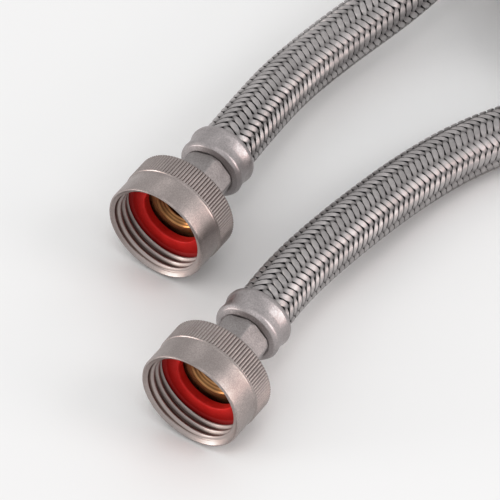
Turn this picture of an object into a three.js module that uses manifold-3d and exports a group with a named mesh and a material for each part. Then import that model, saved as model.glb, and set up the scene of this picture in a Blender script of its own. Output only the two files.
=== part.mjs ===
// Braided washing-machine supply line: a stainless-braided rubber hose with a
// 3/4 in garden-hose-thread swivel nut on each end. Millimetres, +Z up.
//
// Both end fittings lie side by side on the floor with their mouths facing -X.
// The hose leaves each fitting towards +X, reaches the floor in a long slack
// curve and is put away in a tied coil of one and a half turns.
// Origin: on the floor, under the middle of the two end fittings.
import * as THREE from 'three';
import { mergeVertices } from 'three/addons/utils/BufferGeometryUtils.js';
import Module from 'manifold-3d';

const wasm = await Module();
wasm.setup();

// ---------------------------------------------------------------- dimensions
const END_A = [-39.65, -20.04];     // mouth centre of end a, on the floor plan
const END_B = [4.0, 20.04];         // mouth centre of end b
const AXIS_Z = 15.1;                // the nut's knurled band rests on the floor
const GAP = 0.3;                    // between pieces that touch

const NUT_FRONT_R = 14.8;           // plain front band
const NUT_KNURL_R = 15.1;           // knurled rear band, over the ridges
const NUT_SHOULDER = 7.9;           // where the knurled band starts
const NUT_LENGTH = 15.2;
const THREAD_MAJOR_R = 13.55;       // 3/4 in hose thread, 1 1/16 in outside
const THREAD_MINOR_R = 12.45;
const THREAD_PITCH = 2.209;         // 11.5 threads per inch
const NUT_WALL_S = 13.6;            // front face of the nut's rear wall
const NUT_REAR_HOLE_R = 7.6;

const WASHER_FACE = 7.6;            // sealing face, behind the last thread
const WASHER_THICK = 2.45;
const WASHER_OUT_R = 12.95;
const WASHER_IN_R = 8.6;

const STEM_PIVOT = 12.0;            // the loose nut sits askew about this point
const STEM_TILT = 3.3 * Math.PI / 180;
const STEM_BORE_R = 4.9;
const STEM_END = 34.4;

const COLLAR_FRONT = 16.0;
const COLLAR_REAR = 26.2;
const COLLAR_FLATS = 13.6;          // across the flats of the hexagon

const FERRULE_FRONT = 26.6;
const FERRULE_REAR = 35.2;
const FERRULE_BORE_R = 7.8;

const HOSE_D = 15.6;
const HOSE_R = HOSE_D / 2;

const COIL_C = [204.18, -61.94];    // centre of the stored coil
const COIL_R = 78;                  // to the middle of its turns: 10 diameters across
const COIL_Z1 = 9.0;                // axis of the lower turn, which lies on the ties
const COIL_Z2 = 24.8;               // axis of the upper turn
const TIE_ANGLES = [250, 50];       // degrees round the coil
const TIE_THICK = 0.9;
const TIE_WIDTH = 4.2;

// Centrelines of the two stretches that are not coiled, from ferrule to coil.
const LEAD_A = [
  [-4.49, -18.70, 15.10], [5.00, -18.25, 14.96], [14.49, -18.26, 14.46], [23.94, -18.77, 13.66],
  [33.36, -19.54, 12.68], [42.75, -20.47, 11.59], [52.11, -21.64, 10.49], [61.43, -23.18, 9.46],
  [70.65, -25.29, 8.61], [79.67, -28.23, 8.03], [88.28, -32.21, 7.80], [96.30, -37.29, 7.80],
  [103.55, -43.42, 7.80], [109.90, -50.48, 7.85], [115.35, -58.25, 7.99], [120.00, -66.53, 8.21],
  [124.06, -75.12, 8.45], [127.91, -83.80, 8.68], [131.94, -92.40, 8.87], [136.47, -100.75, 8.99],
  [141.72, -108.66, 9.00],
];
const LEAD_B = [
  [39.17, 21.38, 15.10], [48.55, 21.95, 14.84], [57.89, 22.67, 13.96], [67.21, 23.25, 12.87],
  [76.57, 23.19, 11.94], [85.91, 22.16, 11.60], [95.11, 20.28, 12.08], [104.08, 17.71, 13.23],
  [112.92, 14.93, 14.84], [121.81, 12.53, 16.74], [130.83, 10.79, 18.77], [139.98, 9.88, 20.74],
  [149.22, 9.90, 22.51], [158.49, 10.67, 23.88], [167.77, 11.96, 24.68], [177.05, 13.50, 24.80],
  [186.35, 14.91, 24.80], [195.71, 15.86, 24.80], [205.11, 16.08, 24.80], [214.49, 15.37, 24.80],
];

// ------------------------------------------------------------------- helpers
// A plain position-only geometry whose faces point outwards.
function outward(geometry) {
  for (const name of Object.keys(geometry.attributes)) {
    if (name !== 'position') geometry.deleteAttribute(name);
  }
  const g = mergeVertices(geometry, 1e-4);
  const p = g.attributes.position;
  const index = Array.from(g.index.array);
  const tris = [];
  let volume = 0;
  const a = new THREE.Vector3(), b = new THREE.Vector3(), c = new THREE.Vector3();
  for (let i = 0; i < index.length; i += 3) {
    const [x, y, z] = [index[i], index[i + 1], index[i + 2]];
    if (x === y || y === z || x === z) continue;
    tris.push(x, y, z);
    a.fromBufferAttribute(p, x); b.fromBufferAttribute(p, y); c.fromBufferAttribute(p, z);
    volume += a.dot(b.cross(c));
  }
  if (volume < 0) {
    for (let i = 0; i < tris.length; i += 3) [tris[i + 1], tris[i + 2]] = [tris[i + 2], tris[i + 1]];
  }
  g.setIndex(tris);
  return g;
}

// A ring or disc turned about the X axis from [s, r] pairs, s along +X. The
// profile is a closed loop, so its last point joins its first.
function turned(profile, segments) {
  const points = [...profile, profile[0]].map(([s, r]) => new THREE.Vector2(r, s));
  const g = new THREE.LatheGeometry(points, segments);
  g.rotateZ(-Math.PI / 2);
  return outward(g);
}

function solid(geometry) {
  const p = geometry.attributes.position;
  return new wasm.Manifold(new wasm.Mesh({
    numProp: 3,
    vertProperties: new Float32Array(p.array),
    triVerts: new Uint32Array(geometry.index.array),
  }));
}

function geometryOf(manifold) {
  const m = manifold.getMesh();
  const g = new THREE.BufferGeometry();
  const positions = new Float32Array(m.numVert * 3);
  for (let i = 0; i < m.numVert; i++) {
    for (let k = 0; k < 3; k++) positions[3 * i + k] = m.vertProperties[i * m.numProp + k];
  }
  g.setAttribute('position', new THREE.BufferAttribute(positions, 3));
  g.setIndex(new THREE.BufferAttribute(new Uint32Array(m.triVerts), 1));
  return g;
}

function material(color, roughness, metalness) {
  return new THREE.MeshStandardMaterial({ color, roughness, metalness, flatShading: true });
}

const NICKEL = [0xa69c98, 0.38, 1.0];
const PLATED = [0x9c9795, 0.34, 1.0];
const BRASS = [0xb98a4d, 0.35, 1.0];
const RED_RUBBER = [0xb3261e, 0.6, 0.0];
const BLACK_RUBBER = [0x2b2b2c, 0.75, 0.0];
const BRAID = [0x9a9694, 0.42, 0.9];
const TIE = [0x1d1e20, 0.5, 0.0];

const group = new THREE.Group();
function part(name, geometry, look, parent = group) {
  const mesh = new THREE.Mesh(geometry, material(...look));
  mesh.name = name;
  parent.add(mesh);
  return mesh;
}

// ------------------------------------------------------- profiles of one end
// Coupling nut: thin rounded rim, three turns of internal thread, a recess for
// the washer and the stem's flange, and a rear wall that pulls on the flange.
function nutProfile() {
  const p = [[0.35, NUT_FRONT_R], [0, NUT_FRONT_R - 0.3], [0, NUT_FRONT_R - 0.55], [0.85, THREAD_MAJOR_R]];
  for (let i = 0; i < 3; i++) {
    const s = 1.0 + i * THREAD_PITCH;
    p.push([s, THREAD_MAJOR_R - 0.05], [s + 0.8, THREAD_MINOR_R], [s + 1.2, THREAD_MINOR_R], [s + 1.9, THREAD_MAJOR_R - 0.05]);
  }
  p.push([7.4, 13.35], [NUT_WALL_S, 13.35], [NUT_WALL_S, NUT_REAR_HOLE_R], [NUT_LENGTH, NUT_REAR_HOLE_R]);
  p.push([NUT_LENGTH, NUT_KNURL_R - 0.55], [NUT_LENGTH - 0.5, NUT_KNURL_R]);
  p.push([NUT_SHOULDER + 0.1, NUT_KNURL_R], [NUT_SHOULDER - 0.15, NUT_FRONT_R]);
  return p;
}

// Sealing washer: a thick flat ring with softened edges.
function washerProfile() {
  const f = WASHER_FACE, b = WASHER_FACE + WASHER_THICK;
  return [
    [f, WASHER_IN_R], [f, WASHER_OUT_R - 0.65], [f + 0.45, WASHER_OUT_R], [b - 0.3, WASHER_OUT_R],
    [b, WASHER_OUT_R - 0.3], [b, WASHER_IN_R],
  ];
}

// Stem: a raised nose that looks through the washer, a flange, a shank through
// the nut, a neck inside the collar and a barbed tail inside the hose.
function stemProfile() {
  return [
    [11.0, 6.4], [11.0, 8.2], [11.5, 8.35], [11.5, 11.6], [12.6, 11.6], [12.6, 6.6],
    [15.6, 6.6], [15.6, 5.75], [27.6, 5.75], [29.6, 6.05], [29.8, 5.6], [31.8, 6.05],
    [32.0, 5.6], [34.0, 6.0], [STEM_END, 5.5], [STEM_END, STEM_BORE_R], [13.6, STEM_BORE_R],
  ];
}

// Crimped ferrule: a rounded front ring, a shallow waist, a rear ring and a
// rolled rear edge, over the crimped end of the hose.
function ferruleProfile() {
  return [
    [FERRULE_FRONT, 6.1], [FERRULE_FRONT, 7.5], [27.1, 8.6], [28.1, 9.3], [29.3, 9.1], [30.8, 8.98],
    [32.4, 9.2], [33.5, 9.5], [34.5, 9.28], [FERRULE_REAR, 8.7], [FERRULE_REAR, FERRULE_BORE_R],
    [27.6, FERRULE_BORE_R], [27.6, 6.1],
  ];
}

// The inner tube's crimped end, gripped between the barbs and the ferrule.
function tubeEndProfile() {
  return [[27.9, 6.4], [27.9, 7.5], [35.0, 7.5], [35.0, 6.4]];
}

// Hexagonal collar pressed on the stem, with turned ends.
function collarGeometry() {
  const corner = COLLAR_FLATS / 2 / Math.cos(Math.PI / 6);
  const hex = new THREE.Shape();
  for (let i = 0; i < 6; i++) {
    const a = (i + 0.08) * Math.PI / 3;
    if (i === 0) hex.moveTo(corner * Math.cos(a), corner * Math.sin(a));
    else hex.lineTo(corner * Math.cos(a), corner * Math.sin(a));
  }
  hex.closePath();
  const prism = new THREE.ExtrudeGeometry(hex, { depth: COLLAR_REAR - COLLAR_FRONT + 2, bevelEnabled: false });
  prism.rotateY(Math.PI / 2);
  prism.translate(COLLAR_FRONT - 1, 0, 0);
  const ring = turned([
    [COLLAR_FRONT, 6.1], [COLLAR_FRONT, 7.2], [COLLAR_FRONT + 0.5, 7.85], [COLLAR_REAR - 0.4, 7.85],
    [COLLAR_REAR, 7.35], [COLLAR_REAR, 6.1],
  ], 36);
  return geometryOf(solid(outward(prism)).intersect(solid(ring)));
}

// ------------------------------------------------------------ end assemblies
function endFitting(suffix, [x, y]) {
  const end = new THREE.Group();
  end.position.set(x, y, AXIS_Z);
  group.add(end);
  part(`coupling_nut_${suffix}`, turned(nutProfile(), 36), NICKEL, end);
  part(`sealing_washer_${suffix}`, turned(washerProfile(), 36), RED_RUBBER, end);

  // The stem and all behind it sit askew in the loose nut, about the flange.
  const askew = new THREE.Group();
  askew.position.set(STEM_PIVOT, 0, 0);
  askew.rotation.z = STEM_TILT;
  end.add(askew);
  const tail = new THREE.Group();
  tail.position.set(-STEM_PIVOT, 0, 0);
  askew.add(tail);
  part(`stem_${suffix}`, turned(stemProfile(), 30), BRASS, tail);
  part(`hex_collar_${suffix}`, collarGeometry(), PLATED, tail);
  part(`ferrule_${suffix}`, turned(ferruleProfile(), 30), PLATED, tail);
  part(`inner_tube_end_${suffix}`, turned(tubeEndProfile(), 24), BLACK_RUBBER, tail);
}

endFitting('a', END_A);
endFitting('b', END_B);

// ---------------------------------------------------------------------- hose
// The coil's outer shape: a ring as wide as one turn and as high as two.
function stadium(radius, steps) {
  const p = [];
  for (let i = 0; i <= steps; i++) {
    const a = -Math.PI + i * Math.PI / steps;
    p.push([radius * Math.cos(a), COIL_Z1 + radius * Math.sin(a)]);
  }
  for (let i = 0; i <= steps; i++) {
    const a = i * Math.PI / steps;
    p.push([radius * Math.cos(a), COIL_Z2 + radius * Math.sin(a)]);
  }
  return p;
}

function coilRing(radius, segments, steps) {
  const loop = stadium(radius, steps);
  const points = [...loop, loop[0]].map(([r, z]) => new THREE.Vector2(COIL_R + r, z));
  const g = new THREE.LatheGeometry(points, segments);
  g.rotateX(Math.PI / 2);
  g.translate(COIL_C[0], COIL_C[1], 0);
  return outward(g);
}

// A plain tube along one uncoiled stretch. It stops where the coil's outer
// shape takes over.
function lead(points) {
  const curve = new THREE.CatmullRomCurve3(points.map((p) => new THREE.Vector3(...p)), false, 'centripetal');
  const cut = points.length - 1;
  let stop = 1;
  for (let i = 0; i <= 400; i++) {
    const q = curve.getPointAt(i / 400);
    if (Math.hypot(q.x - COIL_C[0], q.y - COIL_C[1]) < COIL_R + HOSE_R - 1) { stop = i / 400; break; }
  }
  const start = GAP / curve.getLength();
  const steps = Math.round(cut / 3);
  const kept = [];
  for (let i = 0; i <= 3 * steps; i++) kept.push(curve.getPointAt(start + (stop - start) * i / (3 * steps)));
  const section = new THREE.Shape();
  for (let i = 0; i < 10; i++) {
    const a = (i + 0.5) * Math.PI / 5;
    if (i === 0) section.moveTo(HOSE_R * Math.cos(a), HOSE_R * Math.sin(a));
    else section.lineTo(HOSE_R * Math.cos(a), HOSE_R * Math.sin(a));
  }
  section.closePath();
  const tube = new THREE.ExtrudeGeometry(section, {
    steps: Math.max(6, steps),
    bevelEnabled: false,
    extrudePath: new THREE.CatmullRomCurve3(kept, false, 'centripetal'),
  });
  const clear = coilRing(HOSE_R + GAP + 0.05, 60, 6);
  return geometryOf(solid(outward(tube)).subtract(solid(clear)));
}

part('hose_lead_a', lead(LEAD_A), BRAID);
part('hose_lead_b', lead(LEAD_B), BRAID);
part('hose_coil', coilRing(HOSE_R, 48, 6), BRAID);

// ---------------------------------------------------------------------- ties
// A strap round both turns of the coil, closed by a small head on the outside.
function tie() {
  const inner = HOSE_R + GAP;
  const outer = inner + TIE_THICK;
  const middle = (COIL_Z1 + COIL_Z2) / 2;
  const strap = new THREE.Shape();
  strap.moveTo(outer, COIL_Z1);
  strap.lineTo(outer, middle - 3.2);
  strap.lineTo(outer + 3.0, middle - 3.2);
  strap.lineTo(outer + 3.0, middle + 2.6);
  strap.lineTo(outer, middle + 2.6);
  strap.lineTo(outer, COIL_Z2);
  strap.absarc(0, COIL_Z2, outer, 0, Math.PI, false);
  strap.lineTo(-outer, COIL_Z1);
  strap.absarc(0, COIL_Z1, outer, Math.PI, 2 * Math.PI, false);
  const hole = new THREE.Path();
  hole.moveTo(inner, COIL_Z2);
  hole.absarc(0, COIL_Z2, inner, 0, Math.PI, false);
  hole.lineTo(-inner, COIL_Z1);
  hole.absarc(0, COIL_Z1, inner, Math.PI, 2 * Math.PI, false);
  strap.holes.push(hole);
  const g = new THREE.ExtrudeGeometry(strap, { depth: TIE_WIDTH, curveSegments: 7, bevelEnabled: false });
  g.translate(0, 0, -TIE_WIDTH / 2);
  g.rotateX(Math.PI / 2);               // shape x = radial, y = up
  return outward(g);
}

TIE_ANGLES.forEach((degrees, i) => {
  const a = degrees * Math.PI / 180;
  const mesh = part(`coil_tie_${i + 1}`, tie(), TIE);
  mesh.position.set(COIL_C[0] + COIL_R * Math.cos(a), COIL_C[1] + COIL_R * Math.sin(a), 0);
  mesh.rotation.z = a;
});

export default group;
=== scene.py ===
import math

import bmesh
import bpy
import numpy as np
from mathutils import Matrix, Vector


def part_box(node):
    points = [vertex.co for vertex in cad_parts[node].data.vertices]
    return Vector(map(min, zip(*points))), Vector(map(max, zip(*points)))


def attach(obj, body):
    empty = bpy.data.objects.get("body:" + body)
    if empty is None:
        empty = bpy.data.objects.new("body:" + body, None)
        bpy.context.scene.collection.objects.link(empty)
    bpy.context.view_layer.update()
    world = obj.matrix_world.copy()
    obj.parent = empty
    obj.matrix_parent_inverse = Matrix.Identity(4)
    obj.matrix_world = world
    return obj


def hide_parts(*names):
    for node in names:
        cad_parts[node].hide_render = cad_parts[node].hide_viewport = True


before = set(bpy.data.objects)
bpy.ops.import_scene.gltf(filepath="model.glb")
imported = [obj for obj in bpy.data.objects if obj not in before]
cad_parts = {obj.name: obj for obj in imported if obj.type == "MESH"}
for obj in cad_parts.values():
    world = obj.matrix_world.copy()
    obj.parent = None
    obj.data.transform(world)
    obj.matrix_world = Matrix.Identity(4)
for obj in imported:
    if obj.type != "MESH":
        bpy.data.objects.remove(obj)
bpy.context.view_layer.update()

MM = 0.001


# ------------------------------------------------------------------ the frame
def mouth(node):
    """Centre of a coupling nut's mouth, in millimetres."""
    lo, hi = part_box(node)
    return np.array([lo.x, (lo.y + hi.y) / 2, (lo.z + hi.z) / 2]) / MM


END = {"a": mouth("coupling_nut_a"), "b": mouth("coupling_nut_b")}
AXIS_Z = END["a"][2]

STEM_PIVOT = 12.0
STEM_TILT = math.radians(3.3)
HOSE_D = 15.6
HOSE_R = HOSE_D / 2

# ------------------------------------------------------------------ the camera
PHI, EL, TX, TY, PX, D = math.radians(56.7344), math.radians(46.9381), 15.3021, 38.5565, 0.2538, 1200.0


def make_camera():
    right = Vector((math.cos(PHI), -math.sin(PHI), 0))
    away = Vector((math.sin(PHI), math.cos(PHI), 0))
    fwd = away * math.cos(EL) + Vector((0, 0, -math.sin(EL)))
    up = away * math.sin(EL) + Vector((0, 0, math.cos(EL)))
    # the point that the framing was measured from: between and below the mouths
    base = Vector((END["a"][0], END["a"][1], AXIS_Z))
    aim = base + right * TX + up * TY
    cam = bpy.data.cameras.new("camera")
    cam.sensor_fit = "HORIZONTAL"
    cam.sensor_width = 36.0
    cam.lens = 36.0 / 2 / (250.0 / (D / PX))
    cam.clip_start, cam.clip_end = 0.05, 20.0
    obj = bpy.data.objects.new("camera", cam)
    bpy.context.scene.collection.objects.link(obj)
    rot = Matrix((right, up, -fwd)).transposed()
    obj.matrix_world = Matrix.Translation((aim - fwd * D) * MM) @ rot.to_4x4()
    bpy.context.scene.camera = obj
    return right, up, fwd


RIGHT, UP, FWD = make_camera()


# -------------------------------------------------------------------- the route
LEAD_A = [
    [-4.49, -18.70, 15.10], [5.00, -18.25, 14.96], [14.49, -18.26, 14.46], [23.94, -18.77, 13.66],
    [33.36, -19.54, 12.68], [42.75, -20.47, 11.59], [52.11, -21.64, 10.49], [61.43, -23.18, 9.46],
    [70.65, -25.29, 8.61], [79.67, -28.23, 8.03], [88.28, -32.21, 7.80], [96.30, -37.29, 7.80],
    [103.55, -43.42, 7.80], [109.90, -50.48, 7.85], [115.35, -58.25, 7.99], [120.00, -66.53, 8.21],
    [124.06, -75.12, 8.45], [127.91, -83.80, 8.68], [131.94, -92.40, 8.87], [136.47, -100.75, 8.99],
]
LEAD_B = [
    [39.17, 21.38, 15.10], [48.55, 21.95, 14.84], [57.89, 22.67, 13.96], [67.21, 23.25, 12.87],
    [76.57, 23.19, 11.94], [85.91, 22.16, 11.60], [95.11, 20.28, 12.08], [104.08, 17.71, 13.23],
    [112.92, 14.93, 14.84], [121.81, 12.53, 16.74], [130.83, 10.79, 18.77], [139.98, 9.88, 20.74],
    [149.22, 9.90, 22.51], [158.49, 10.67, 23.88], [167.77, 11.96, 24.68], [177.05, 13.50, 24.80],
    [186.35, 14.91, 24.80], [195.71, 15.86, 24.80], [205.11, 16.08, 24.80],
]
COIL_C, COIL_R = (204.182, -61.944), 78.0
COIL_T0, COIL_T1 = math.radians(216.796), math.radians(802.409)
RAMP_0, RAMP_1 = math.radians(476.409), math.radians(559.796)
COIL_Z1, COIL_Z2 = 9.0, 24.8
HOSE_START, HOSE_STOP = 34.2, 34.2      # the braid's ends, inside the ferrules, measured along the stems


def tilted(end, s, radial=0.0):
    """A point on a stem's own axis, which sits askew in the loose nut."""
    c, n = math.cos(STEM_TILT), math.sin(STEM_TILT)
    return END[end] + np.array([STEM_PIVOT + (s - STEM_PIVOT) * c, (s - STEM_PIVOT) * n, 0.0])


def route():
    coil = []
    steps = 150
    for i in range(steps + 1):
        t = COIL_T0 + (COIL_T1 - COIL_T0) * i / steps
        k = min(1.0, max(0.0, (t - RAMP_0) / (RAMP_1 - RAMP_0)))
        z = COIL_Z1 + (COIL_Z2 - COIL_Z1) * k * k * (3 - 2 * k)
        coil.append([COIL_C[0] + COIL_R * math.cos(t), COIL_C[1] + COIL_R * math.sin(t), z])
    start = [list(tilted("a", HOSE_START))]
    stop = [list(tilted("b", HOSE_STOP))]
    return np.array(start + LEAD_A + coil + LEAD_B[::-1] + stop, float)


def smooth_line(points, step):
    """A Catmull-Rom curve through the points, resampled at an even spacing."""
    p = np.vstack([2 * points[0] - points[1], points, 2 * points[-1] - points[-2]])
    out = []
    for i in range(1, len(p) - 2):
        p0, p1, p2, p3 = p[i - 1:i + 3]
        t0 = 0.0
        t1 = t0 + np.linalg.norm(p1 - p0) ** 0.5
        t2 = t1 + np.linalg.norm(p2 - p1) ** 0.5
        t3 = t2 + np.linalg.norm(p3 - p2) ** 0.5
        t = np.linspace(t1, t2, 24, endpoint=False)[:, None]
        a1 = (t1 - t) / (t1 - t0) * p0 + (t - t0) / (t1 - t0) * p1
        a2 = (t2 - t) / (t2 - t1) * p1 + (t - t1) / (t2 - t1) * p2
        a3 = (t3 - t) / (t3 - t2) * p2 + (t - t2) / (t3 - t2) * p3
        b1 = (t2 - t) / (t2 - t0) * a1 + (t - t0) / (t2 - t0) * a2
        b2 = (t3 - t) / (t3 - t1) * a2 + (t - t1) / (t3 - t1) * a3
        out.append((t2 - t) / (t2 - t1) * b1 + (t - t1) / (t2 - t1) * b2)
    line = np.vstack(out + [p[-2][None]])
    arc = np.concatenate([[0], np.cumsum(np.linalg.norm(np.diff(line, axis=0), axis=1))])
    n = int(round(arc[-1] / step))
    want = np.linspace(0, arc[-1], n + 1)
    return np.stack([np.interp(want, arc, line[:, k]) for k in range(3)], 1), arc[-1]


PATH, LENGTH = smooth_line(route(), 0.5)


def carried_frames(path):
    """Tangents and two normals carried along the path without twist."""
    tangent = np.gradient(path, axis=0)
    # the ends' directions are noisy at one step, so they are smoothed a little
    kernel = np.ones(9) / 9
    padded = np.pad(tangent, ((4, 4), (0, 0)), mode="edge")
    tangent = np.stack([np.convolve(padded[:, k], kernel, mode="valid") for k in range(3)], 1)
    tangent /= np.linalg.norm(tangent, axis=1)[:, None]
    n = np.cross(tangent[0], [0, 0, 1.0])
    n /= np.linalg.norm(n)
    first = np.zeros_like(path)
    for i, t in enumerate(tangent):
        n = n - t * np.dot(n, t)
        n /= np.linalg.norm(n)
        first[i] = n
    return tangent, first, np.cross(tangent, first)


TANGENT, NORMAL, BINORMAL = carried_frames(PATH)


def on_hose(z, angle, radius):
    """Points at a distance z along the hose, at an angle round it and a radius from its middle."""
    step = LENGTH / (len(PATH) - 1)
    f = np.clip(z / step, 0, len(PATH) - 1.0001)
    i = f.astype(int)
    w = (f - i)[:, None]
    c = PATH[i] * (1 - w) + PATH[i + 1] * w
    n = NORMAL[i] * (1 - w) + NORMAL[i + 1] * w
    b = BINORMAL[i] * (1 - w) + BINORMAL[i + 1] * w
    ca, sa = np.cos(angle)[:, None], np.sin(angle)[:, None]
    out = ca * n + sa * b
    around = -sa * n + ca * b
    return c + out * np.asarray(radius)[:, None], out, around


def mesh_object(name, verts, faces, material, smooth=True, sharp=None, attributes=None):
    """faces: an integer array of quads or triangles, or a list of rings of any size."""
    mesh = bpy.data.meshes.new(name)
    verts = np.asarray(verts, np.float32) * MM
    if isinstance(faces, np.ndarray):
        n, k = faces.shape
        mesh.vertices.add(len(verts))
        mesh.vertices.foreach_set("co", verts.ravel())
        mesh.loops.add(n * k)
        mesh.loops.foreach_set("vertex_index", faces.astype(np.int32).ravel())
        mesh.polygons.add(n)
        mesh.polygons.foreach_set("loop_start", (np.arange(n) * k).astype(np.int32))
        mesh.update(calc_edges=True)
    else:
        mesh.from_pydata(verts.tolist(), [], [list(map(int, f)) for f in faces])
        mesh.update()
    mesh.polygons.foreach_set("use_smooth", np.full(len(mesh.polygons), smooth))
    if sharp is not None:
        mesh.set_sharp_from_angle(angle=math.radians(sharp))
    for key, values in (attributes or {}).items():
        values = np.asarray(values, np.float32)
        if values.ndim == 2:
            a = mesh.attributes.new(key, "FLOAT_VECTOR", "POINT")
            a.data.foreach_set("vector", values.ravel())
        else:
            a = mesh.attributes.new(key, "FLOAT", "POINT")
            a.data.foreach_set("value", values)
    mesh.materials.append(material)
    mesh.validate()
    obj = bpy.data.objects.new(name, mesh)
    bpy.context.scene.collection.objects.link(obj)
    return obj


# ------------------------------------------------------------------- materials
def new_material(name, color, metallic, roughness, **extra):
    m = bpy.data.materials.new(name)
    m.use_nodes = True
    nt = m.node_tree
    b = nt.nodes["Principled BSDF"]
    b.inputs["Base Color"].default_value = (*color, 1)
    b.inputs["Metallic"].default_value = metallic
    b.inputs["Roughness"].default_value = roughness
    for key, value in extra.items():
        b.inputs[key.replace("_", " ")].default_value = value
    return m, nt, b


def node(nt, kind, **values):
    n = nt.nodes.new(kind)
    for key, value in values.items():
        if key in n.inputs:
            n.inputs[key].default_value = value
        else:
            setattr(n, key, value)
    return n


def noise(nt, scale, detail=4.0, rough=0.55, stretch=(1, 1, 1)):
    co = node(nt, "ShaderNodeTexCoord")
    mp = node(nt, "ShaderNodeMapping")
    mp.inputs["Scale"].default_value = stretch
    nt.links.new(co.outputs["Object"], mp.inputs["Vector"])
    n = node(nt, "ShaderNodeTexNoise", Scale=scale, Detail=detail, Roughness=rough)
    nt.links.new(mp.outputs["Vector"], n.inputs["Vector"])
    return n.outputs["Fac"]


def attribute(nt, name):
    return node(nt, "ShaderNodeAttribute", attribute_name=name).outputs["Fac"]


def ramp(nt, source, stops):
    r = node(nt, "ShaderNodeValToRGB")
    nt.links.new(source, r.inputs["Fac"])
    el = r.color_ramp.elements
    while len(el) < len(stops):
        el.new(0.5)
    for e, (pos, col) in zip(el, stops):
        e.position = pos
        e.color = (*col, 1) if len(col) == 3 else col
    return r.outputs["Color"]


def remap(nt, source, a, b, c, d):
    r = node(nt, "ShaderNodeMapRange")
    for key, value in zip(("From Min", "From Max", "To Min", "To Max"), (a, b, c, d)):
        r.inputs[key].default_value = value
    nt.links.new(source, r.inputs["Value"])
    return r.outputs["Result"]


def maths(nt, op, a, b=None, c=None):
    m = node(nt, "ShaderNodeMath", operation=op)
    for i, v in enumerate((a, b, c)):
        if v is None:
            continue
        if isinstance(v, (int, float)):
            m.inputs[i].default_value = v
        else:
            nt.links.new(v, m.inputs[i])
    return m.outputs[0]


def mix_color(nt, fac, a, b, blend="MIX"):
    m = node(nt, "ShaderNodeMix", data_type="RGBA", blend_type=blend)
    for sock, v in ((m.inputs[0], fac), (m.inputs[6], a), (m.inputs[7], b)):
        if isinstance(v, (int, float)):
            sock.default_value = v
        elif isinstance(v, tuple):
            sock.default_value = (*v, 1)
        else:
            nt.links.new(v, sock)
    return m.outputs[2]


def bump(nt, shader, height, strength, distance, after=None):
    b = node(nt, "ShaderNodeBump", Strength=strength, Distance=distance)
    nt.links.new(height, b.inputs["Height"])
    if after is not None:
        nt.links.new(after, b.inputs["Normal"])
    nt.links.new(b.outputs["Normal"], shader.inputs["Normal"])
    return b.outputs["Normal"]


def nickel_material():
    m, nt, b = new_material("satin_nickel", (0.45, 0.40, 0.385), 1.0, 0.36)
    patches = noise(nt, 75.0, 5.0, 0.6)
    col = ramp(nt, patches, [(0.3, (0.405, 0.36, 0.348)), (0.5, (0.485, 0.432, 0.417)), (0.72, (0.545, 0.49, 0.475))])
    grain = noise(nt, 3300.0, 3.0, 0.6)
    col = mix_color(nt, remap(nt, grain, 0.38, 0.62, 0.0, 0.62), col, (0.31, 0.268, 0.255))
    inside = attribute(nt, "inside")          # 1 in the threaded mouth, 0 on the outside
    col = mix_color(nt, inside, col, (0.50, 0.443, 0.424))
    groove_shade = attribute(nt, "groove_shade")          # painted shade: 1 at the bottom and on the far flank of the thread's groove and between the knurls, darkened to stand for shade
    col = mix_color(nt, groove_shade, col, (0.14, 0.095, 0.082))
    nt.links.new(col, b.inputs["Base Color"])
    rough = remap(nt, noise(nt, 260.0, 4.0), 0.3, 0.7, 0.30, 0.43)
    nt.links.new(maths(nt, "ADD", rough, maths(nt, "MULTIPLY", inside, 0.11)), b.inputs["Roughness"])
    turned_marks = attribute(nt, "tool")
    lines = node(nt, "ShaderNodeTexNoise", Scale=1.0, Detail=3.0, Roughness=0.6, noise_dimensions="1D")
    nt.links.new(maths(nt, "MULTIPLY", turned_marks, 9.0), lines.inputs["W"])
    first = bump(nt, b, lines.outputs["Fac"], 0.16, 0.00006)
    bump(nt, b, noise(nt, 3600.0, 3.0), 0.25, 0.00008, first)
    return m


def plated_material(name, light, dark, rough, marks):
    m, nt, b = new_material(name, light, 1.0, rough)
    col = ramp(nt, noise(nt, 140.0, 5.0, 0.6), [(0.28, dark), (0.62, light)])
    grain = remap(nt, noise(nt, 2600.0, 3.0, 0.6), 0.38, 0.62, 0.0, 0.55)
    col = mix_color(nt, grain, col, tuple(0.78 * v for v in dark))
    nt.links.new(col, b.inputs["Base Color"])
    nt.links.new(remap(nt, noise(nt, 420.0, 4.0), 0.3, 0.7, rough - 0.05, rough + 0.09), b.inputs["Roughness"])
    lines = node(nt, "ShaderNodeTexNoise", Scale=1.0, Detail=3.0, Roughness=0.6, noise_dimensions="1D")
    nt.links.new(maths(nt, "MULTIPLY", attribute(nt, "tool"), 7.0), lines.inputs["W"])
    first = bump(nt, b, lines.outputs["Fac"], marks, 0.00008)
    bump(nt, b, noise(nt, 1500.0, 3.0), 0.14, 0.0001, first)
    return m


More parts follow.
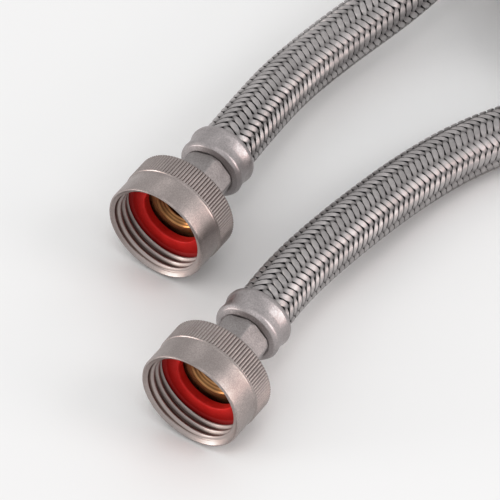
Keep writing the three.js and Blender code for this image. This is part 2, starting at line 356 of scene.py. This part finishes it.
def brass_material():
    m, nt, b = new_material("turned_brass", (0.74, 0.50, 0.27), 1.0, 0.30)
    tarnish = noise(nt, 160.0, 5.0, 0.6)
    bright = ramp(nt, tarnish, [(0.25, (0.46, 0.235, 0.095)), (0.55, (0.60, 0.325, 0.14)), (0.8, (0.72, 0.41, 0.185))])
    dull = ramp(nt, tarnish, [(0.25, (0.46, 0.24, 0.10)), (0.55, (0.58, 0.315, 0.14)), (0.8, (0.68, 0.39, 0.185))])
    col = mix_color(nt, attribute(nt, "funnel"), dull, bright)   # the bore's funnel is freshly cut
    lines = node(nt, "ShaderNodeTexNoise", Scale=1.0, Detail=2.0, Roughness=0.5, noise_dimensions="1D")
    nt.links.new(maths(nt, "MULTIPLY", attribute(nt, "tool"), 3.2), lines.inputs["W"])
    col = mix_color(nt, remap(nt, lines.outputs["Fac"], 0.40, 0.60, 0.0, 0.75), col, (0.17, 0.08, 0.032))
    nt.links.new(col, b.inputs["Base Color"])
    rough = remap(nt, noise(nt, 500.0, 3.0), 0.3, 0.7, 0.44, 0.60)
    nt.links.new(maths(nt, "ADD", rough, maths(nt, "MULTIPLY", attribute(nt, "funnel"), -0.16)), b.inputs["Roughness"])
    bump(nt, b, lines.outputs["Fac"], 0.6, 0.00012)
    return m


def red_rubber_material():
    m, nt, b = new_material("red_rubber", (0.60, 0.014, 0.012), 0.0, 0.46, Specular_IOR_Level=0.3)
    col = ramp(nt, noise(nt, 220.0, 4.0), [(0.3, (0.68, 0.016, 0.013)), (0.7, (0.84, 0.032, 0.026))])
    # painted shade: darker towards the outer edge, where the thread shades the washer
    col = mix_color(nt, attribute(nt, "rim_shade"), col, (0.34, 0.006, 0.005))
    nt.links.new(col, b.inputs["Base Color"])
    nt.links.new(remap(nt, noise(nt, 900.0, 4.0), 0.3, 0.7, 0.40, 0.56), b.inputs["Roughness"])
    bump(nt, b, noise(nt, 1800.0, 5.0), 0.22, 0.00015)
    return m


def braid_material():
    m, nt, b = new_material("braid_wire", (0.44, 0.43, 0.42), 1.0, 0.36, Anisotropic=0.8)
    # the wires lie along a bundle, so its gloss spreads across it
    cross = node(nt, "ShaderNodeAttribute", attribute_name="lateral").outputs["Vector"]
    nt.links.new(cross, b.inputs["Tangent"])
    across = attribute(nt, "across")          # 0..1 over a bundle's width
    strand = attribute(nt, "strand")          # a number of its own for each bundle
    wires = maths(nt, "SINE", maths(nt, "MULTIPLY", across, math.pi * 2 * 6))
    # painted shade between the wires: the tone dips in six stripes across each bundle
    shade = maths(nt, "ADD", maths(nt, "MULTIPLY", wires, 0.14), 0.5)
    tone = ramp(nt, maths(nt, "ADD", shade, maths(nt, "MULTIPLY", strand, 0.12)),
                [(0.30, (0.44, 0.417, 0.415)), (0.55, (0.60, 0.572, 0.569)), (0.85, (0.73, 0.697, 0.694))])
    # painted shade: where a bundle dives under its neighbours it is darkened to stand for the shade there
    under_shade = attribute(nt, "under_shade")
    tone = mix_color(nt, under_shade, tone, (0.05, 0.046, 0.045))
    nt.links.new(tone, b.inputs["Base Color"])
    nt.links.new(remap(nt, noise(nt, 600.0, 3.0), 0.3, 0.7, 0.36, 0.52), b.inputs["Roughness"])
    bump(nt, b, wires, 0.5, 0.00006)
    return m


def black_rubber_material(name="inner_tube"):
    m, nt, b = new_material(name, (0.02, 0.02, 0.021), 0.0, 0.7)
    nt.links.new(ramp(nt, noise(nt, 300.0, 4.0), [(0.3, (0.014, 0.014, 0.015)), (0.7, (0.032, 0.032, 0.034))]), b.inputs["Base Color"])
    nt.links.new(remap(nt, noise(nt, 700.0, 3.0), 0.3, 0.7, 0.6, 0.8), b.inputs["Roughness"])
    bump(nt, b, noise(nt, 1300.0, 4.0), 0.3, 0.0001)
    return m


def nylon_material():
    m, nt, b = new_material("tie_nylon", (0.02, 0.02, 0.021), 0.0, 0.42)
    nt.links.new(ramp(nt, noise(nt, 120.0, 4.0), [(0.3, (0.014, 0.014, 0.015)), (0.7, (0.030, 0.030, 0.031))]), b.inputs["Base Color"])
    nt.links.new(remap(nt, noise(nt, 900.0, 4.0), 0.3, 0.7, 0.36, 0.5), b.inputs["Roughness"])
    bump(nt, b, noise(nt, 2200.0, 4.0), 0.2, 0.00008)
    return m


NICKEL = nickel_material()
COLLAR = plated_material("plated_collar", (0.46, 0.43, 0.426), (0.34, 0.316, 0.312), 0.54, 0.3)
FERRULE = plated_material("rolled_steel", (0.55, 0.512, 0.512), (0.41, 0.38, 0.38), 0.42, 0.22)
BRASS = brass_material()
RED = red_rubber_material()
BRAID = braid_material()
BLACK = black_rubber_material()
NYLON = nylon_material()


# -------------------------------------------------------------------- the hose
def braided_hose():
    """One mesh: twenty-four flat wire bundles woven two over two, over the dark inner tube."""
    n = 12                                        # bundles in each direction
    mean_r = 7.45
    lay = math.atan(2 * math.pi * mean_r / (n * 2.2))   # to the hose's axis: neighbours lie 2.2 mm apart along it
    wave = 0.24                                   # half the radial travel of a bundle
    crown, belly = 0.16, 0.10                     # height of a bundle above and below its edges
    turn = math.tan(lay) / mean_r                 # radians per millimetre
    per = math.pi / (n * turn)                    # length along the hose between crossings
    # One period is four crossings, at 0.5 and 1.5 over, at 2.5 and 3.5 under.
    pattern = [(0.0, 0.12), (0.5, 0.82), (1.0, 1.0), (1.5, 0.82), (2.0, 0.12), (3.0, -0.95)]
    verts, quads, across, strand, mats, lateral, under_shade = [], [], [], [], [], [], []
    base = 0
    rng = np.random.default_rng(7)
    section = np.array([[-1.0, 0.0], [-0.82, 0.62], [-0.38, 1.0], [0.38, 1.0], [0.82, 0.62], [1.0, 0.0], [0.45, -1.0], [-0.45, -1.0]])
    k = len(section)
    total = LENGTH
    periods = int(total / (4 * per)) + 4
    for family in (0, 1):
        sign = 1 if family == 0 else -1
        for i in range(n):
            # Bundle i of one family crosses bundle j of the other at i + j = 2i + c, or 2j - c, where c
            # counts crossings along the hose. The sum decides which is on top, so floats of one family
            # line up along the hose in columns.
            shift = -2 * i if family == 0 else 2 * i - 3
            shift = shift % 4 - 4
            c, hs = [], []
            for m in range(periods):
                for t, h in pattern:
                    c.append(4 * m + t - 0.5 + shift)
                    hs.append(h)
            z, hs = np.array(c) * per, np.array(hs)
            order = np.argsort(z)
            z, hs = z[order], hs[order]
            keep = (z > -per * 1.5) & (z < total + per * 1.5)
            z, hs = np.clip(z[keep], 0, total), hs[keep]
            uniq = np.concatenate([[True], np.diff(z) > 1e-6])
            z, hs = z[uniq], hs[uniq]
            # a slow twist in the coil sets the weave's phase at the second end
            k2 = np.clip((z / total - 0.2) / 0.6, 0, 1)
            phase = np.radians(7.0 - 5.0 * k2 * k2 * (3 - 2 * k2))
            angle = phase + 2 * math.pi * i / n + sign * turn * z
            r = mean_r + wave * hs + (0.05 if family else -0.05)
            # drawn in where the ferrules grip
            grip = np.minimum(z, total - z)
            r = r - 0.16 * np.clip(1 - grip / 4.0, 0, 1)
            c0, out, around = on_hose(z, angle, r)
            along = np.gradient(c0, axis=0)
            along /= np.linalg.norm(along, axis=1)[:, None]
            side = np.cross(out, along)
            side /= np.linalg.norm(side, axis=1)[:, None]
            up = np.cross(along, side)
            width = np.interp(hs, [-0.95, 0.12, 0.82, 1.0], [0.50, 0.52, 0.80, 0.92]) * (1 + 0.025 * rng.standard_normal())
            jitter = 0.02 * rng.standard_normal(len(z))
            c0 = c0 + side * jitter[:, None]
            for (u, v) in section:
                hgt = crown * v if v > 0 else belly * v
                verts.append(c0 + side * (u * width)[:, None] + up * hgt)
            m = len(z)
            # verts are stored section point by section point
            idx = base + np.arange(k)[:, None] * m + np.arange(m)[None, :]
            nxt = np.roll(idx, -1, axis=0)
            q = np.stack([idx[:, :-1], idx[:, 1:], nxt[:, 1:], nxt[:, :-1]], -1).reshape(-1, 4)
            quads.append(q)
            mats.append(np.zeros(len(q), int))
            for cap, flip in ((idx[:, 0], False), (idx[:, -1], True)):
                ring = cap if flip else cap[::-1]
                quads.append(np.array([[ring[0], ring[1], ring[2], ring[3]], [ring[0], ring[3], ring[4], ring[7]], [ring[4], ring[5], ring[6], ring[7]]]))
                mats.append(np.zeros(3, int))
            across.append(np.repeat((section[:, 0] + 1) / 2, m))
            strand.append(np.full(k * m, rng.uniform(-1, 1)))
            lateral.append(np.tile(side, (k, 1)))
            # painted shade: 1 where the bundle runs under its neighbours, part way while it goes down
            shade_low = np.interp(hs, [-0.95, 0.12, 0.82, 1.0], [1.0, 0.42, 0.0, 0.0])
            under_shade.append(np.tile(shade_low, k))
            base += k * m
    # the inner tube, closed at both ends
    tube_r, sides = 6.95, 24
    zt = np.linspace(0, total, int(total / 4.0) + 1)
    m = len(zt)
    for j in range(sides):
        a = np.full(m, 2 * math.pi * j / sides)
        verts.append(on_hose(zt, a, np.full(m, tube_r))[0])
    idx = base + np.arange(sides)[:, None] * m + np.arange(m)[None, :]
    nxt = np.roll(idx, -1, axis=0)
    q = np.stack([idx[:, :-1], nxt[:, :-1], nxt[:, 1:], idx[:, 1:]], -1).reshape(-1, 4)
    quads.append(q)
    mats.append(np.ones(len(q), int))
    base += sides * m
    ends = []
    for zz, ring in ((0.0, idx[:, 0]), (total, idx[:, -1])):
        inner = []
        for j in range(sides):
            inner.append(on_hose(np.array([zz]), np.array([2 * math.pi * j / sides]), np.array([5.0]))[0])
        verts.append(np.vstack(inner))
        inn = base + np.arange(sides)
        base += sides
        ring2, inn2 = np.roll(ring, -1), np.roll(inn, -1)
        q = np.stack([ring, inn, inn2, ring2] if zz > 0 else [ring, ring2, inn2, inn], -1)
        quads.append(q)
        mats.append(np.ones(len(q), int))
        centre = on_hose(np.array([zz]), np.array([0.0]), np.array([0.0]))[0]
        verts.append(centre)
        hub = base
        base += 1
        for j in range(0, sides, 2):
            a, b, c = inn[j], inn[(j + 1) % sides], inn[(j + 2) % sides]
            ends.append([hub, a, b, c] if zz > 0 else [hub, c, b, a])
    quads.append(np.array(ends))
    mats.append(np.ones(len(ends), int))
    verts = np.vstack(verts)
    quads = np.vstack(quads)
    mats = np.concatenate(mats)
    across = np.concatenate(across + [np.full(len(verts) - sum(len(a) for a in across), 0.5)])
    strand = np.concatenate(strand + [np.zeros(len(verts) - sum(len(a) for a in strand))])
    lateral = np.vstack(lateral + [np.tile([0.0, 0.0, 1.0], (len(verts) - sum(len(a) for a in lateral), 1))])
    under_shade = np.concatenate(under_shade + [np.zeros(len(verts) - sum(len(a) for a in under_shade))])
    hose = mesh_object("braided_hose", verts, quads, BRAID,
                       attributes={"across": across, "strand": strand, "lateral": lateral, "under_shade": under_shade})
    hose.data.materials.append(BLACK)
    if len(hose.data.polygons) == len(mats):
        hose.data.polygons.foreach_set("material_index", mats.astype(np.int32))
    return hose


HOSE = braided_hose()
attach(HOSE, "hose")
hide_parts("hose_lead_a", "hose_coil", "hose_lead_b")


# -------------------------------------------------------------------- the ties
TIE_ANGLES = (250.0, 50.0)
TIE_IN, TIE_THICK, TIE_HALF = HOSE_R + 0.3, 0.9, 2.1


def strap(points, outward, half, thick, ribs, cut):
    """A flat strap along (radial, z) points, with rails along its edges and fine ribs between them."""
    pts, out = np.array(points, float), np.array(outward, float)
    verts, faces = [], []
    # section: u across the strap, v from its inner face (0) to its outer face (1)
    sec = [(-half, 0.12), (-half, 0.85), (-half + 0.15, 1.0), (-half + 0.62, 1.0), (-half + 0.75, 0.8),
           (half - 0.75, 0.8), (half - 0.62, 1.0), (half - 0.15, 1.0), (half, 0.85), (half, 0.12),
           (half - 0.15, 0.0), (-half + 0.15, 0.0)]
    k = len(sec)
    for j, (p, o) in enumerate(zip(pts, out)):
        rib = 0.17 if ribs and j % 2 else 0.0
        for i, (u, v) in enumerate(sec):
            if i in (4, 5):
                v += rib
            q = p + o * v * thick
            verts.append([q[0], u, q[1]])
    n = len(pts)
    loops = n if not cut else n - 1
    for j in range(loops):
        a, b = j * k, ((j + 1) % n) * k
        for i in range(k):
            faces.append([a + i, a + (i + 1) % k, b + (i + 1) % k, b + i])
    if cut:
        faces.append(list(range(k))[::-1])
        faces.append([(n - 1) * k + i for i in range(k)])
    return verts, faces


def rounded_block(lo, hi, edge):
    """A block with chamfered and softened edges, from one corner to the other."""
    bm = bmesh.new()
    bmesh.ops.create_cube(bm, size=1.0)
    for v in bm.verts:
        for k in range(3):
            v.co[k] = (lo[k] + hi[k]) / 2 + v.co[k] * (hi[k] - lo[k])
    bmesh.ops.bevel(bm, geom=list(bm.edges), offset=edge, segments=3, profile=0.6, affect="EDGES")
    bm.normal_update()
    verts = [list(v.co) for v in bm.verts]
    faces = [[v.index for v in f.verts] for f in bm.faces]
    bm.free()
    return verts, faces


def coil_tie(number, degrees):
    inner, mid = TIE_IN, (COIL_Z1 + COIL_Z2) / 2
    points, out = [], []

    def add(r, z, ox, oz):
        points.append([r, z])
        out.append([ox, oz])

    for i in range(29):                               # over the upper turn
        t = math.pi * i / 28
        add(inner * math.cos(t), COIL_Z2 + inner * math.sin(t), math.cos(t), math.sin(t))
    for i in range(1, 18):                            # down the inside of the coil
        add(-inner, COIL_Z2 + (COIL_Z1 - COIL_Z2) * i / 18, -1, 0)
    for i in range(29):                               # under the lower turn
        t = math.pi + math.pi * i / 28
        add(inner * math.cos(t), COIL_Z1 + inner * math.sin(t), math.cos(t), math.sin(t))
    for i in range(1, 18):                            # up the outside, through the head
        add(inner, COIL_Z1 + (COIL_Z2 - COIL_Z1) * i / 18, 1, 0)
    pieces = [strap(points, out, TIE_HALF, TIE_THICK, True, False)]
    face = inner + TIE_THICK
    # head: a block with a raised lip round the slot, and the cut tail standing out of it
    pieces.append(rounded_block((face - 0.25, -2.75, mid - 3.2), (face + 2.75, 2.75, mid + 2.6), 0.5))
    pieces.append(rounded_block((face + 0.35, -2.35, mid + 2.2), (face + 2.3, 2.35, mid + 3.0), 0.3))
    tail = [[face + 0.75 + 0.012 * i * i, mid - 2.0 + 0.55 * i] for i in range(15)]
    pieces.append(strap(tail, [[1, -0.02 * i] for i in range(15)], TIE_HALF - 0.25, TIE_THICK, True, True))
    verts, faces = [], []
    for v, f in pieces:
        base = len(verts)
        verts += v
        faces += [[base + k for k in g] for g in f]
    a = math.radians(degrees)
    v = np.array(verts)
    x = COIL_C[0] + (COIL_R + v[:, 0]) * math.cos(a) - v[:, 1] * math.sin(a)
    y = COIL_C[1] + (COIL_R + v[:, 0]) * math.sin(a) + v[:, 1] * math.cos(a)
    obj = mesh_object(f"nylon_tie_{number}", np.stack([x, y, v[:, 2]], 1), faces, NYLON, sharp=35)
    bm = bmesh.new()
    bm.from_mesh(obj.data)
    bmesh.ops.recalc_face_normals(bm, faces=bm.faces)
    bm.to_mesh(obj.data)
    bm.free()
    obj.data.set_sharp_from_angle(angle=math.radians(35))
    return obj


for i, degrees in enumerate(TIE_ANGLES):
    tie = coil_tie(i + 1, degrees)
    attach(tie, "hose")
    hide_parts(f"coil_tie_{i + 1}")


# --------------------------------------------------------------- turned pieces
def arc_profile(points, steps=3):
    """Rounds each corner of a closed (s, r, fillet) loop."""
    pts = [np.array(p[:2], float) for p in points]
    fil = [p[2] if len(p) > 2 else 0.0 for p in points]
    out = []
    n = len(pts)
    for i in range(n):
        a, b, c = pts[i - 1], pts[i], pts[(i + 1) % n]
        f = fil[i]
        if f <= 0:
            out.append(b)
            continue
        u, v = a - b, c - b
        lu, lv = np.linalg.norm(u), np.linalg.norm(v)
        u, v = u / lu, v / lv
        cosw = float(np.clip(np.dot(u, v), -1, 1))
        half = math.acos(cosw) / 2
        reach = min(f / math.tan(half), 0.49 * lu, 0.49 * lv)
        r = reach * math.tan(half)
        p, q = b + u * reach, b + v * reach
        mid = b + (u + v) / np.linalg.norm(u + v) * (r / math.sin(half))
        a0 = math.atan2(*(p - mid)[::-1])
        a1 = math.atan2(*(q - mid)[::-1])
        d = (a1 - a0 + math.pi) % (2 * math.pi) - math.pi
        for k in range(steps + 1):
            t = a0 + d * k / steps
            out.append(mid + r * np.array([math.cos(t), math.sin(t)]))
    return np.array(out)


def place(points, end, askew):
    """Local (s, y, z) points, s along the nut's or the stem's axis, into the row frame."""
    p = np.array(points, float)
    if askew:
        c, n = math.cos(STEM_TILT), math.sin(STEM_TILT)
        s, y = p[:, 0] - STEM_PIVOT, p[:, 1].copy()
        p[:, 0] = STEM_PIVOT + s * c - y * n
        p[:, 1] = s * n + y * c
    return p + END[end]


def painted_groove_shade(S, R, T):
    """Painted shade: 1 at the bottom and on the far flank of the nut's thread, less between its knurls."""
    u = 2 * math.pi * ((S - 0.75) / PITCH + T / (2 * math.pi))
    shade_low = np.clip((-np.cos(u) - 0.15) / 0.45, 0, 1)
    far = 0.75 * np.clip((np.sin(u) - 0.2) / 0.5, 0, 1) * np.clip((0.8 - np.cos(u)) / 0.4, 0, 1)
    thread = (R > 12.3) & (R < 13.6) & (S > 1.0) & (S < 6.8)
    knurl = np.where((R > 14.6) & (S > 8.4) & (S < 14.8), 0.45 * np.clip((15.04 - R) / 0.28, 0, 1), 0.0)
    return np.where(thread, np.maximum(shade_low, far), knurl)


def turned(name, profile, segments, end, askew, material, shape=None, sharp=40, phase=0.0):
    """A closed (s, r) loop turned about the axis. shape(s, r, theta, i) may move r."""
    s, r = profile[:, 0], profile[:, 1]
    th = phase + np.arange(segments) * 2 * math.pi / segments
    S, T = np.meshgrid(s, th, indexing="ij")
    R = np.repeat(r[:, None], segments, 1)
    if shape is not None:
        S, R = shape(S, R, T)
    verts = np.stack([S, R * np.sin(T), R * np.cos(T)], -1).reshape(-1, 3)
    n = len(s)
    idx = np.arange(n * segments).reshape(n, segments)
    down = np.roll(idx, -1, axis=0)
    a, b = idx, np.roll(idx, -1, axis=1)
    c, d = np.roll(down, -1, axis=1), down
    quads = np.stack([a, b, c, d], -1).reshape(-1, 4)
    # face outwards: the loop may run either way round
    area = 0.5 * np.sum(s * np.roll(r, -1) - np.roll(s, -1) * r)
    if area > 0:
        quads = quads[:, ::-1]
    tool = np.repeat((s + 1.7 * r)[:, None], segments, 1).reshape(-1)
    inside = np.clip((14.3 - R) / 0.4, 0, 1).reshape(-1)
    # painted shade in the thread's groove and between the knurls
    groove_shade = painted_groove_shade(S, R, T).reshape(-1)
    # painted shade on the washer, rising towards its outer edge
    rim_shade = np.clip((R - 10.9) / 1.9, 0, 1).reshape(-1)
    return mesh_object(name, place(verts, end, askew), quads, material, sharp=sharp,
                       attributes={"tool": tool, "inside": inside, "groove_shade": groove_shade, "rim_shade": rim_shade, "funnel": np.clip((6.62 - R) / 0.12, 0, 1).reshape(-1)})


NUT_SHOULDER, NUT_LENGTH = 7.9, 15.2
KNURLS = 105
PITCH = 2.209


def nut_profile():
    inner = [(0.1, 14.22, 0.1), (0.7, 13.62, 0)]
    inner += [(s, 13.55, 0) for s in np.arange(0.78, 6.75, 0.1)]
    inner += [(6.82, 13.44, 0.05), (13.6, 13.40, 0.3), (13.6, 7.6, 0.2), (15.2, 7.6, 0.2)]
    outer = [(15.2, 14.15, 0.35), (14.75, 14.8, 0.25)]
    knurl = [(s, 15.08, 0) for s in (14.5, 14.2, 12.6, 11.0, 9.6, 8.8, 8.6, 8.45, 8.3)]
    front = [(8.12, 15.05, 0.1), (7.92, 14.82, 0.05), (7.6, 14.74, 0.1), (4.0, 14.79, 0), (0.45, 14.8, 0.3), (0.0, 14.52, 0.12), (0.02, 14.3, 0.1)]
    return arc_profile(inner + outer + knurl + front)


def nut_shape(S, R, T):
    # straight knurl: rounded ridges and narrow grooves, fading at both ends of the band
    band = (R > 14.55) & (S > 7.95)
    fade = np.clip((S - 8.2) / 0.35, 0, 1) * np.clip((14.95 - S) / 0.35, 0, 1)
    ridge = np.abs(np.cos(KNURLS * T / 2)) ** 0.62
    R = np.where(band, R - 0.33 * fade * (1 - ridge), R)
    # internal hose thread, right-handed and rounded, running out at both ends
    wall = (R < 13.6) & (R > 13.5) & (S > 0.75) & (S < 6.8)
    u = (S - 0.75) / PITCH + T / (2 * math.pi)
    h = (0.5 + 0.5 * np.cos(2 * math.pi * u)) ** 0.95   # 1 on a crest, 0 in the groove
    lead = np.clip((S - 0.75) / 0.5, 0, 1) * np.clip((6.75 - S) / 0.35, 0, 1)
    R = np.where(wall, R - (1.02 * h + 0.04) * lead, R)
    return S, R


def washer_profile():
    return arc_profile([
        (7.6, 8.6, 0.45), (7.6, 12.2, 0.6), (6.9, 13.32, 0.08),
        (9.75, 13.3, 0.25), (10.05, 12.9, 0.2), (10.05, 8.6, 0.25),
    ], 4)


def stem_profile():
    return arc_profile([
        (11.0, 6.55, 0.12), (11.0, 8.15, 0.15), (11.35, 8.35, 0), (11.5, 11.6, 0.12), (12.6, 11.6, 0.12),
        (12.6, 6.6, 0.15), (15.6, 6.6, 0.15), (15.6, 5.8, 0), (27.6, 5.75, 0), (29.6, 6.05, 0), (29.8, 5.6, 0),
        (31.8, 6.05, 0), (32.0, 5.6, 0), (34.0, 6.0, 0.1), (34.4, 5.5, 0.1), (34.4, 4.9, 0.1), (12.65, 4.9, 0.2),
    ], 3)


def collar_profile():
    s = [(16.0, 6.1), (16.0, 6.6), (16.0, 7.2)]
    s += [(x, 9.0) for x in (16.03, 16.12, 16.25, 16.4, 16.55, 16.75, 17.0, 18.5, 20.5, 22.5, 23.8, 24.5, 24.8, 25.0, 25.15, 25.3, 25.45, 25.6, 25.75, 25.9, 26.0, 26.1, 26.17)]
    s += [(26.2, 6.7), (26.2, 6.5), (26.2, 6.1)]
    return np.array(s)


def collar_shape(S, R, T):
    af = 13.6 / 2
    t = (T - math.radians(160)) % (math.pi / 3) - math.pi / 6
    flat = af / np.cos(t)
    # edges rounded to the turned size
    corner = 7.78
    flat = -np.log(np.exp(-flat * 14) + np.exp(-corner * 14)) / 14
    # both ends are chamfered, the rear one far enough to leave curved edges on the flats
    cone = np.minimum(6.95 + (S - 16.0) * 1.6, 7.25 + (26.2 - S) * 0.45)
    limit = np.minimum(flat, cone)
    outer = R > 8.9
    R = np.where(outer, limit, np.minimum(R, limit - 0.01))
    return S, R


def ferrule_profile():
    return arc_profile([
        (26.4, 6.15, 0.1), (26.4, 7.35, 0.25), (27.0, 8.62, 0.7), (28.1, 9.32, 1.2), (29.3, 9.1, 2.0),
        (30.8, 8.98, 3.0), (32.4, 9.2, 3.0), (33.5, 9.55, 0.9), (34.5, 9.3, 0.6),
        (35.2, 8.75, 0.3), (35.2, 8.12, 0.25), (33.8, 8.0, 0), (27.6, 7.95, 0.2), (27.6, 6.15, 0.1),
    ], 4)


def tube_end_profile():
    return arc_profile([(27.9, 6.4, 0.1), (27.9, 7.6, 0.2), (33.95, 7.6, 0.2), (33.95, 6.4, 0.1)], 3)


for e in ("a", "b"):
    phase = 0.0 if e == "a" else 90 * 2 * math.pi / (KNURLS * 6)
    nut = turned(f"swivel_nut_{e}", nut_profile(), KNURLS * 6, e, False, NICKEL, nut_shape, 50, phase)
    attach(nut, f"nut_{e}")
    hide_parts(f"coupling_nut_{e}")
    washer = turned(f"rubber_washer_{e}", washer_profile(), 128, e, False, RED)
    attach(washer, f"nut_{e}")
    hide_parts(f"sealing_washer_{e}")
    stem = turned(f"brass_stem_{e}", stem_profile(), 128, e, True, BRASS)
    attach(stem, "hose")
    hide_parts(f"stem_{e}")
    collar = turned(f"hexagon_collar_{e}", collar_profile(), 180, e, True, COLLAR, collar_shape, 60)
    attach(collar, "hose")
    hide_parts(f"hex_collar_{e}")
    ferrule = turned(f"crimp_ferrule_{e}", ferrule_profile(), 160, e, True, FERRULE)
    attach(ferrule, "hose")
    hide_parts(f"ferrule_{e}")
    tube = turned(f"tube_end_{e}", tube_end_profile(), 64, e, True, BLACK)
    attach(tube, "hose")
    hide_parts(f"inner_tube_end_{e}")


# ------------------------------------------------------- floor, light, backdrop
def floor():
    m, nt, b = new_material("pale_floor", (0.86, 0.86, 0.86), 0.0, 0.7)
    mesh = bpy.data.meshes.new("floor")
    h = 6.0
    mesh.from_pydata([(-h, -h, 0), (h, -h, 0), (h, h, 0), (-h, h, 0)], [], [(0, 1, 2, 3)])
    mesh.materials.append(m)
    obj = bpy.data.objects.new("floor", mesh)
    obj.location.z = -0.0002
    bpy.context.scene.collection.objects.link(obj)
    return obj


def area_light(name, position, target, size, power, color=(1, 1, 1)):
    data = bpy.data.lights.new(name, "AREA")
    data.shape = "RECTANGLE"
    data.size, data.size_y = size
    data.energy = power
    data.color = color
    obj = bpy.data.objects.new(name, data)
    bpy.context.scene.collection.objects.link(obj)
    direction = (Vector(target) - Vector(position)).normalized()
    obj.location = position
    obj.rotation_mode = "QUATERNION"
    obj.rotation_quaternion = direction.to_track_quat("-Z", "Y")
    return obj


floor()
world = bpy.data.worlds.new("world")
bpy.context.scene.world = world
world.use_nodes = True
world.node_tree.nodes["Background"].inputs["Color"].default_value = (1, 1, 1, 1)
world.node_tree.nodes["Background"].inputs["Strength"].default_value = 0.64

CENTRE = Vector((0.03, 0.0, 0.01))


def around(right, up, back, distance):
    """A point seen from the middle of the object, in the camera's directions."""
    d = (RIGHT * right + UP * up - FWD * back).normalized()
    return CENTRE + d * distance


# direction (right, up, back) seen from the camera, watts and colour, for square soft boxes 0.55 m wide
for name, where, power, color in (
    ("right_low", (0.95, -0.1, 0.45), 4.2, (1.0, 0.87, 0.84)),
    ("right_up", (0.75, 0.3, 0.6), 2.2, (1, 1, 1)),
    ("right_back", (0.95, 0.35, -0.1), 0.4, (1, 1, 1)),
    ("left_side", (-0.97, 0.08, 0.24), 4.6, (1.0, 0.96, 0.93)),
    ("back_up", (0.0, 1.0, 0.0), 0.4, (1, 1, 1)),
    ("front_up", (0.0, 0.4, 0.9), 1.5, (1, 1, 1)),
):
    area_light(name, around(*where, 1.5), CENTRE, (0.55, 0.55), power, color)

bpy.context.scene.view_settings.view_transform = "Standard"
bpy.context.scene.view_settings.look = "None"
bpy.context.scene.view_settings.exposure = 0.0
# a little more contrast, so that the pale floor comes out near white
bpy.context.scene.view_settings.use_curve_mapping = True
curve = bpy.context.scene.view_settings.curve_mapping
tone = curve.curves[3]
for x, y in ((0.06, 0.052), (0.22, 0.215), (0.40, 0.43), (0.60, 0.76), (0.75, 0.93)):
    tone.points.new(x, y)
curve.update()
